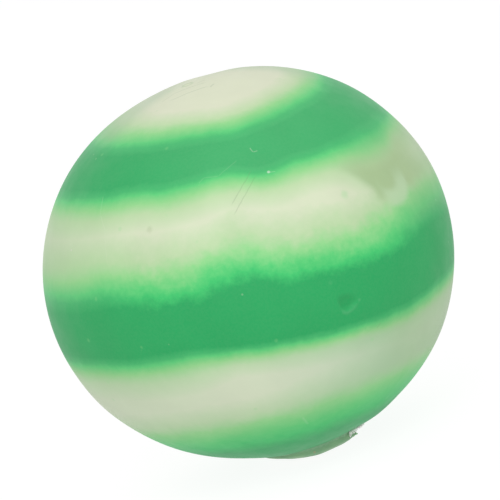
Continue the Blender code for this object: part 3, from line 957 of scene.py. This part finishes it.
class BALL_OT_skin(bpy.types.Operator):
    """Model the clear skin: a closed shell with its fill hole, collar and inner wall"""

    bl_idname = "squishy.skin"
    bl_label = "Skin"

    def execute(self, context):
        p = context.scene.skin_settings
        deselect()
        bpy.ops.mesh.primitive_uv_sphere_add(segments=p.around, ring_count=p.rings, radius=HALF_WIDTH * MM)
        bpy.ops.transform.resize(value=(1, 1, HALF_HEIGHT / HALF_WIDTH))
        skin = start_piece("ball_skin")
        centres = face_centres(skin)
        dimple = np.linalg.norm(centres - ball_point(*DIMPLE_AT), axis=1) < DIMPLE_REACH
        gate = np.linalg.norm(centres - np.array(GATE_AT), axis=1) < GATE_REACH
        pick_faces(skin, dimple | gate)
        bpy.ops.mesh.subdivide(number_cuts=2)
        bpy.ops.object.mode_set(mode="OBJECT")
        centres = face_centres(skin)
        pick_faces(skin, (centres[:, 2] < 0) & (radius_of(centres) < p.hole / MM / 2))
        bpy.ops.mesh.delete(type="FACE")
        bpy.ops.object.mode_set(mode="OBJECT")
        outside = len(skin.data.vertices)
        self.add_inner_wall(skin, p)
        self.shape(skin, outside, p)
        self.lay_map(skin, outside)
        finish_piece(skin, "skin", skin_material(p))
        return {"FINISHED"}

    def add_inner_wall(self, skin, p):
        """Extrudes the hole's rim up through the collar, out, and round the inside to the top."""
        wall = p.wall / MM
        wide, tall = HALF_WIDTH - wall, HALF_HEIGHT - wall
        lower = places(skin)
        lower = lower[lower[:, 2] < 0]
        radii = radius_of(lower)
        r = radii.min()
        z = lower[radii < r + 1e-3, 2].mean()
        top = p.collar_rise / MM - tall
        collar = p.collar / MM / 2
        loops = [(r, (z + top) / 2), (r, top - 0.3), (r + 0.3, top)]
        loops += [(collar - 1.7, top), (collar - 1.3, top - 0.2)]
        for a in np.linspace(math.pi - math.asin(collar / wide), 0, INNER_RINGS + 1):
            loops.append((wide * math.sin(a), tall * math.cos(a)))
        bpy.ops.object.mode_set(mode="EDIT")
        bpy.ops.mesh.select_mode(type="EDGE")
        bpy.ops.mesh.select_all(action="DESELECT")
        bpy.ops.mesh.select_non_manifold()
        extrude_along(bpy.ops.mesh.extrude_edges_move, loops, r, z)
        bpy.ops.mesh.merge(type="CENTER")
        bpy.ops.object.mode_set(mode="OBJECT")

    def shape(self, skin, outside, p):
        """Puts the outer points on the oval, adds its relief and keeps what the material reads."""
        size = np.array([HALF_WIDTH, HALF_WIDTH, HALF_HEIGHT])
        rest = places(skin)
        outer = rest[:outside]
        outer = outer / np.linalg.norm(outer / size, axis=1)[:, None]
        rest[:outside] = outer
        normal = outer / size**2
        normal /= np.linalg.norm(normal, axis=1)[:, None]
        # the relief fades out round the hole, where the patch sits
        off_patch = np.where(outer[:, 2] < 0, between(radius_of(outer), 9, 13), 1)
        points = rest.copy()
        points[:outside] += normal * (skin_relief(outer, p) * off_patch)[:, None]
        place(skin, points + np.array([0, 0, CENTRE_Z]))
        azimuth, height = azimuth_of(rest), rest[:, 2]
        kept = {name: height - edge_height(name, azimuth) for name in STRIPE_EDGES}
        kept["pocket"], kept["pocket_rim"] = pocket_field(azimuth, height)
        kept["pocket_fade"] = between(azimuth, 33, 44) * between(azimuth, 78, 58) * between(height, 20, 18)
        kept["dimple_bowl"], kept["dimple_lip"] = dimple_field(rest)
        kept["gate_ring"], _ = gate_field(rest)
        for name, values in {"rest_place": rest, **kept}.items():
            store(skin, name, values)

    def lay_map(self, skin, outside):
        """Lays the outside over most of the map and the inner wall in a strip below it."""
        mesh = skin.data
        layer = mesh.uv_layers[0]
        layer.name = "OFBake"
        corner = read(mesh.loops, "vertex_index", kind=np.int32)
        first = read(mesh.polygons, "loop_start", kind=np.int32)
        face = np.repeat(np.arange(len(first)), read(mesh.polygons, "loop_total", kind=np.int32))
        inner = np.maximum.reduceat((corner >= outside).astype(int), first)[face] > 0
        strip, margin = 0.14, 0.005
        uv = read(layer.uv, "vector", 2)
        uv[:, 1] = strip + (1 - strip) * uv[:, 1]
        points = places(skin)[corner]
        # a face that crosses the seam, where u starts again at 0, is kept whole
        u = (np.arctan2(points[:, 1], points[:, 0]) / TURN) % 1
        u = np.where(np.maximum.reduceat(u, first)[face] - u > 0.5, u + 1, u) * 0.98
        depth = (points[:, 2] - points[inner, 2].min()) / np.ptp(points[inner, 2])
        uv[inner] = np.stack([u, margin + 0.12 * depth], 1)[inner]
        layer.uv.foreach_set("vector", uv.ravel())


class BALL_OT_dough(bpy.types.Operator):
    """Model the six layers of dough, each on its own body, with the stopper's room and the air pocket"""

    bl_idname = "squishy.dough"
    bl_label = "Dough layers"

    def execute(self, context):
        p = context.scene.skin_settings
        materials = {
            "green": dough_material("green_dough", tuple(p.core), tuple(p.rim)),
            "cream": dough_material("cream_dough", tuple(p.cream), tuple(p.pale)),
        }
        for name, node, body, low, high, colour in LAYERS:
            deselect()
            bpy.ops.mesh.primitive_uv_sphere_add(segments=LAYER_COLUMNS, ring_count=LAYER_RINGS, radius=MM)
            layer = start_piece(name)
            points = self.layer_points(places(layer), low, high, p)
            place(layer, points + np.array([0, 0, CENTRE_Z]))
            apply_modifier(layer, "SMOOTH", factor=0.5, iterations=3)
            finish_piece(layer, node, materials[colour], body)
        return {"FINISHED"}

    def layer_points(self, unit, low, high, p):
        """Carries a ball's points to a layer: its lower face, its side inside the skin, its upper face."""
        azimuth = azimuth_of(unit)
        t = 1 - np.arccos(np.clip(unit[:, 2], -1, 1)) / math.pi
        wide, tall = FILL_HALF_WIDTH, FILL_HALF_HEIGHT
        share = tall / HALF_HEIGHT

        def face(name, shift):
            """Height and radius of a face's rim, and the height of the face's middle."""
            rim = edge_height(name, azimuth) * share + shift
            middle = edge_height(name, np.arange(-180, 180, 10)).mean() * share + shift
            return rim, wide * np.sqrt(1 - (rim / tall) ** 2), middle

        # the faces take the shares of t below the start and above the stop, the side takes the rest
        start, stop = (0.3 if low else 0.2), (0.7 if high else 1.0)
        s = np.clip(t / start, 0, 1)
        if low:
            low_z, low_r, middle = face(low, LAYER_GAP)
            out, down = s, ease(s)
        else:
            # flat over the stopper, then down round the collar
            low_r = p.collar / MM / 2 + STOPPER_ROOM
            low_z = -tall * math.sqrt(1 - (low_r / wide) ** 2)
            middle = STOPPER_HIGH.z + STOPPER_ROOM - CENTRE_Z
            flat = 0.55
            out, down = np.clip(s / flat, 0, 1), np.clip((s - flat) / (1 - flat), 0, 1)
        high_z = tall
        if high:
            high_z, high_r, high_middle = face(high, -LAYER_GAP)
        along = np.clip((t - start) / (stop - start), 0, 1)
        low_b, high_b = np.arcsin(low_z / tall), np.arcsin(high_z / tall)
        b = low_b + (high_b - low_b) * along
        r = np.where(t < start, low_r * out, wide * np.cos(b))
        z = np.where(t < start, middle + (low_z - middle) * down, tall * np.sin(b))
        if high:
            s = np.clip((1 - t) / (1 - stop), 0, 1)
            r = np.where(t > stop, high_r * s, r)
            z = np.where(t > stop, high_middle + (high_z - high_middle) * ease(s), z)
        if high == "upper_edge":
            inside, _ = pocket_field(azimuth, z / share)
            hollow = between(inside, -1, 2) * between(azimuth, 80, 65)
            r = r - POCKET_DEPTH * hollow * (along > 0) * (along < 1)
        return points_round(r, np.radians(azimuth), z)


def patch_depth(p, x, y):
    """Thickness of the patch at a place, in mm: thinner at its left end and rounded off at its rim."""
    thin = ease((x + PATCH_RADIUS + 0.6) / (p.taper / MM + 2.5))
    uneven = 1 + 0.05 * np.sin(1.3 * y + 0.8) + 0.04 * np.sin(0.9 * x - 1.7 * y)
    full = p.thickness / MM * (0.18 + 0.82 * thin) * uneven
    worn = 0.35 - 0.2 * ease(x / 5)
    return full * (1 - worn * between(np.hypot(x, y), PATCH_RADIUS - 0.9, PATCH_RADIUS))


class BALL_OT_patch(bpy.types.Operator):
    """Model the sealing patch: a round of rubber that follows the ball, thick at its right end"""

    bl_idname = "squishy.patch"
    bl_label = "Sealing patch"

    def execute(self, context):
        p = context.scene.patch_settings
        deselect()
        bpy.ops.mesh.primitive_circle_add(vertices=PATCH_SIDES, radius=PATCH_RADIUS * MM, fill_type="NGON")
        patch = start_piece("patch_disc")
        pick_all()
        bpy.ops.mesh.extrude_region_move(TRANSFORM_OT_translate={"value": (0, 0, -BLANK * MM)})
        for sign in (1, -1):
            bpy.ops.object.mode_set(mode="OBJECT")
            facing = np.array([f.normal.z * sign for f in patch.data.polygons])
            pick_faces(patch, facing > 0.9)
            for _ in range(PATCH_RINGS):
                bpy.ops.mesh.inset(thickness=PATCH_INSET * MM)
            bpy.ops.mesh.poke()
        turn_outwards()
        points = places(patch)
        radius = radius_of(points)
        upper = underside(radius) - PATCH_LIFT
        lower = np.maximum(upper - patch_depth(p, points[:, 0], points[:, 1]), 0.04 * ease(radius / 9))
        points[:, 2] = np.where(points[:, 2] > -BLANK / 2, upper, lower)
        place(patch, points)
        round_edges(patch, 0.25, 40)
        rubber = rubber_material("patch_rubber", tuple(p.rubber), "patch_deep", "patch_warm")
        finish_piece(patch, "sealing_patch", rubber)
        return {"FINISHED"}


class BALL_OT_glue(bpy.types.Operator):
    """Model the glue: the uneven bead round the patch and the torn scraps at its right end"""

    bl_idname = "squishy.glue"
    bl_label = "Glue"

    def execute(self, context):
        p = context.scene.patch_settings
        self.add_bead(p)
        self.add_scraps(p)
        return {"FINISHED"}

    def add_bead(self, p):
        """A torus whose section is turned into a fillet between the patch's side and the skin."""
        deselect()
        bpy.ops.mesh.primitive_torus_add(
            major_segments=BEAD_COLUMNS,
            minor_segments=BEAD_SIDES,
            major_radius=PATCH_RADIUS * MM,
            minor_radius=p.bead / 2,
        )
        bead = start_piece("glue_bead_ring")
        points = places(bead)
        turn = np.arctan2(points[:, 0], -points[:, 1])
        swell = 0.86 + sum(amount * np.sin(waves * turn + shift) for amount, waves, shift in BEAD_WAVES)
        wide = p.bead / MM * swell
        tall = 0.5 * swell * patch_depth(p, PATCH_RADIUS * np.sin(turn), -PATCH_RADIUS * np.cos(turn))
        # round the section: a hollow face from the patch out to the skin, back along the skin, down the patch
        round_section = np.arctan2(points[:, 2], radius_of(points) - PATCH_RADIUS)
        share = (np.degrees(round_section) + 90) % 360
        face, back = np.clip(share / 90, 0, 1), np.clip(share / 90 - 1, 0, 1)
        side = np.clip((share - 180) / 180, 0, 1)
        radius = PATCH_RADIUS - GLUE_SINK + (wide + GLUE_SINK) * (face - back) - 0.15 * np.sin(math.pi * side)
        below = np.where(share > 180, (tall + GLUE_SINK) * side, tall * (1 - face) ** 1.6)
        below -= GLUE_SINK * (share > 90)
        place(bead, points_round(radius, turn, underside(radius) - below))
        finish_piece(bead, "glue_bead", glue_material("set_glue", tuple(p.glue), "thick_glue"))

    def add_scraps(self, p):
        """Torn film at the patch's right end: ragged slips that stand on edge and lean out along the ball."""
        made = []
        for root, tip, width, teeth, rubber in SLIPS:
            deselect()
            bpy.ops.mesh.primitive_grid_add(x_subdivisions=22, y_subdivisions=6, size=2 * MM)
            slip = start_piece("slip")
            flat = places(slip)
            along, across = (flat[:, 0] + 1) / 2, flat[:, 1] / 2
            azimuth, radius, off = (a + (b - a) * along for a, b in zip(root, tip))
            ragged = 1 + 0.35 * np.sin(13 * along + teeth) + 0.25 * np.sin(31 * along - teeth * 2)
            breadth = across * width * np.where(across > 0, 1, ragged) * (1 - 0.75 * along**2)
            turn = np.radians(azimuth) + (0.16 * np.sin(5 * along + teeth) + 0.25 * across) / radius
            points = points_round(radius, turn, np.maximum(underside(radius) + off + breadth, 0.25))
            points[:, 1] -= 0.7 * breadth
            place(slip, points)
            store(slip, "rubber_left", np.full(len(points), float(rubber)))
            apply_modifier(slip, "SOLIDIFY", thickness=0.45 * MM, offset=0.0)
            apply_modifier(slip, "SUBSURF", levels=1, render_levels=1)
            made.append(slip)
        select_only(made[0])
        for slip in made:
            slip.select_set(True)
        bpy.ops.object.join()
        scraps = start_piece("glue_scraps")
        torn = glue_material("torn_glue", tuple(p.torn), "thick_torn", tuple(p.rubber))
        finish_piece(scraps, "glue_flash", torn)


class BALL_OT_stopper(bpy.types.Operator):
    """Model the stopper: a turned stem with a barbed head that holds behind the collar"""

    bl_idname = "squishy.stopper"
    bl_label = "Stopper"

    def execute(self, context):
        p = context.scene.patch_settings
        skin = context.scene.skin_settings
        stem = skin.hole / MM / 2 - STOPPER_PLAY
        foot = underside(stem)
        barb, barb_height, tip = STOPPER_HIGH.x, 0.8, 2.5
        shoulder = (SKIN_LOW.z + skin.wall + skin.collar_rise) / MM + STOPPER_PLAY
        deselect()
        bpy.ops.mesh.primitive_circle_add(vertices=PLUG_SIDES, radius=stem * MM, fill_type="NGON")
        bpy.ops.transform.translate(value=(0, 0, foot * MM))
        plug = start_piece("stopper_plug")
        pick_all()
        bpy.ops.mesh.flip_normals()
        path = ((stem, shoulder), (barb, shoulder), (barb, shoulder + barb_height), (tip, STOPPER_HIGH.z))
        extrude_along(bpy.ops.mesh.extrude_region_move, path, stem, foot)
        turn_outwards()
        round_edges(plug, 0.22, 35)
        rubber = rubber_material("stopper_rubber", tuple(p.plug), "plug_deep", "plug_warm")
        finish_piece(plug, "stopper", rubber, sharp=35)
        return {"FINISHED"}


class BALL_OT_stage(bpy.types.Operator):
    """Set the pale floor, the soft light and the camera of the picture"""

    bl_idname = "squishy.stage"
    bl_label = "Stage"

    def execute(self, context):
        p = context.scene.stage_settings
        middle = Vector((0, 0, CENTRE_Z * MM))
        back = Vector((0, -math.cos(p.elevation), math.sin(p.elevation)))
        level_up = Vector((0, math.sin(p.elevation), math.cos(p.elevation)))
        right = Vector((1, 0, 0)) * math.cos(p.roll) - level_up * math.sin(p.roll)
        up = level_up * math.cos(p.roll) + Vector((1, 0, 0)) * math.sin(p.roll)
        self.add_camera(p, middle, right, up, back)
        self.add_floor(p)
        self.add_sky(p)
        self.add_key(p, middle, right, up, back)
        context.scene.view_settings.view_transform = "Standard"
        return {"FINISHED"}

    def add_camera(self, p, middle, right, up, back):
        deselect()
        bpy.ops.object.camera_add()
        camera = bpy.context.object
        turned = Matrix((right, up, back)).transposed().to_4x4()
        camera.matrix_world = Matrix.Translation(middle + back * p.distance) @ turned
        edge = math.asin(HALF_WIDTH * MM / p.distance)
        camera.data.sensor_width = 36
        camera.data.lens = camera.data.sensor_width * p.ball_share / 2 / math.tan(edge)
        camera.data.shift_x, camera.data.shift_y = PICTURE_SHIFT
        bpy.context.scene.camera = camera

    def add_floor(self, p):
        """A floor that is white where it is seen and lights the ball softly from below."""
        deselect()
        bpy.ops.mesh.primitive_plane_add(size=FLOOR_SIZE, location=(0, 0, -FLOOR_DROP))
        floor = bpy.context.object
        floor.name = "floor"
        made = bpy.data.materials.new("pale_floor")
        made.use_nodes = True
        made.node_tree.nodes.clear()
        board = Board(made.node_tree)
        mirrored = board.rays("Glossy", "Transmission")
        bounce = board.add("ShaderNodeMapRange", 0, {"Value": mirrored, "To Min": p.bounce, "To Max": 1.0})
        lit = board.add("ShaderNodeEmission", inputs={"Color": tuple(p.floor), "Strength": bounce})
        shade = board.add("ShaderNodeBsdfDiffuse", inputs={"Color": (0.15, 0.15, 0.15)})
        glow = board.add("ShaderNodeEmission", inputs={"Strength": 0.9})
        white = board.add("ShaderNodeAddShader", inputs={0: shade, 1: glow})
        both = board.add("ShaderNodeMixShader", inputs={0: board.rays("Camera"), 1: lit, 2: white})
        board.add("ShaderNodeOutputMaterial", None, {"Surface": both})
        floor.data.materials.append(made)

    def add_sky(self, p):
        """Even light from all round, white where it is seen."""
        world = bpy.data.worlds.new("studio")
        bpy.context.scene.world = world
        world.use_nodes = True
        world.node_tree.nodes.clear()
        board = Board(world.node_tree)
        seen = board.rays("Camera", "Glossy", "Transmission")
        strength = board.add("ShaderNodeMapRange", 0, {"Value": seen, "To Min": p.ambient, "To Max": 1.0})
        sky = board.add("ShaderNodeBackground", inputs={"Color": (1, 1, 1), "Strength": strength})
        board.add("ShaderNodeOutputWorld", None, {"Surface": sky})

    def add_key(self, p, middle, right, up, back):
        deselect()
        bpy.ops.object.light_add(type="AREA")
        key = bpy.context.object
        key.name = "key"
        key.data.shape = "DISK"
        key.data.size = KEY_SIZE
        key.data.energy = p.key
        aim = (back * KEY_FROM[0] + up * KEY_FROM[1] + right * KEY_FROM[2]).normalized()
        turned = aim.to_track_quat("Z", "Y").to_matrix().to_4x4()
        key.matrix_world = Matrix.Translation(middle + aim * KEY_DISTANCE) @ turned


OPERATORS = (BALL_OT_stage, BALL_OT_skin, BALL_OT_dough, BALL_OT_stopper, BALL_OT_patch, BALL_OT_glue)
SETTINGS = {"skin_settings": SkinSettings, "patch_settings": PatchSettings, "stage_settings": StageSettings}


class BALL_PT_panel(bpy.types.Panel):
    """Lists the ball's settings and steps"""

    bl_label = "Squishy Ball"
    bl_idname = "BALL_PT_panel"
    bl_space_type = "VIEW_3D"
    bl_region_type = "UI"
    bl_category = "Squishy Ball"

    def draw(self, context):
        for name, kind in SETTINGS.items():
            box = self.layout.box()
            for prop in kind.__annotations__:
                box.prop(getattr(context.scene, name), prop)
        for operator in OPERATORS:
            self.layout.operator(operator.bl_idname)


def register():
    for kind in (*SETTINGS.values(), *OPERATORS, BALL_PT_panel):
        bpy.utils.register_class(kind)
    for name, kind in SETTINGS.items():
        setattr(bpy.types.Scene, name, bpy.props.PointerProperty(type=kind))


def unregister():
    for name in SETTINGS:
        delattr(bpy.types.Scene, name)
    for kind in reversed((*SETTINGS.values(), *OPERATORS, BALL_PT_panel)):
        bpy.utils.unregister_class(kind)


def main():
    register()
    bpy.ops.squishy.stage()
    bpy.ops.squishy.skin()
    bpy.ops.squishy.dough()
    bpy.ops.squishy.stopper()
    bpy.ops.squishy.patch()
    bpy.ops.squishy.glue()


if __name__ == "__main__":
    main()
